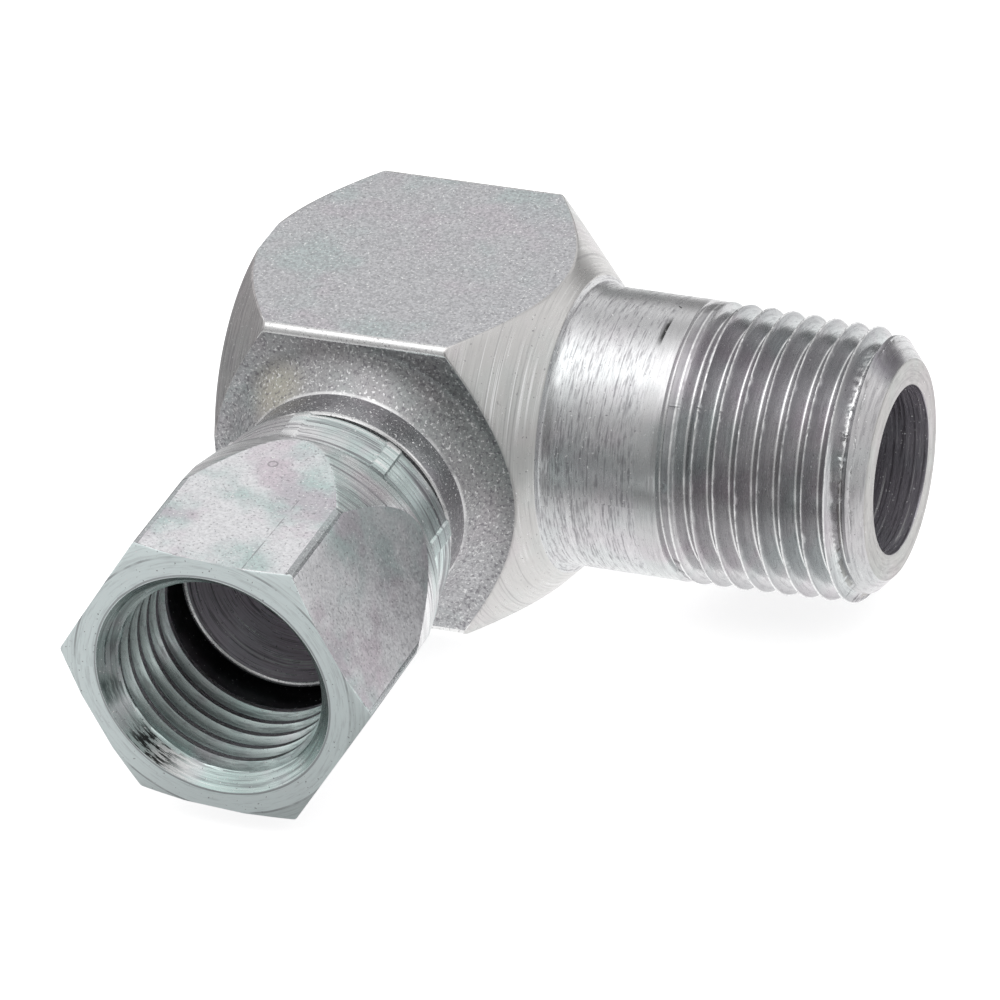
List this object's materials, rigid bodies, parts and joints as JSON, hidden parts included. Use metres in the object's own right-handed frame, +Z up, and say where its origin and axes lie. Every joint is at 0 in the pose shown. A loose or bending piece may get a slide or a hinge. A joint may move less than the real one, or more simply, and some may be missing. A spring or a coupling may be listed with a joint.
{
  "type": "hydraulic adapter",
  "caption": "Right-angle hydraulic adapter: a block with an outside taper pipe thread on one leg and a free-turning inside-threaded swivel nut over a cone seat on the other.",
  "frame": {"origin": "where the axes of the bore through the male end and the bore through the swivel's tail cross", "axes": "+X along the male end and out of it, -Y along the swivel and out of the nut's mouth, +Z up"},
  "size_m": [0.0416, 0.0449, 0.0206],
  "materials": {
    "plated_body": "bright zinc plate over turned and drawn steel, fine grain",
    "plated_nut": "bright zinc plate over turned steel, faintly iridescent"
  },
  "bodies": {
    "elbow": {"elbow_body": "plated_body"},
    "nut": {"swivel_nut": "plated_nut"}
  },
  "joints": [
    {"name": "nut_swivel", "type": "hinge", "parent": "elbow", "child": "nut", "pos_m": [0, -0.0182, 0], "axis": [0, -1, 0], "continuous": true}
  ]
}
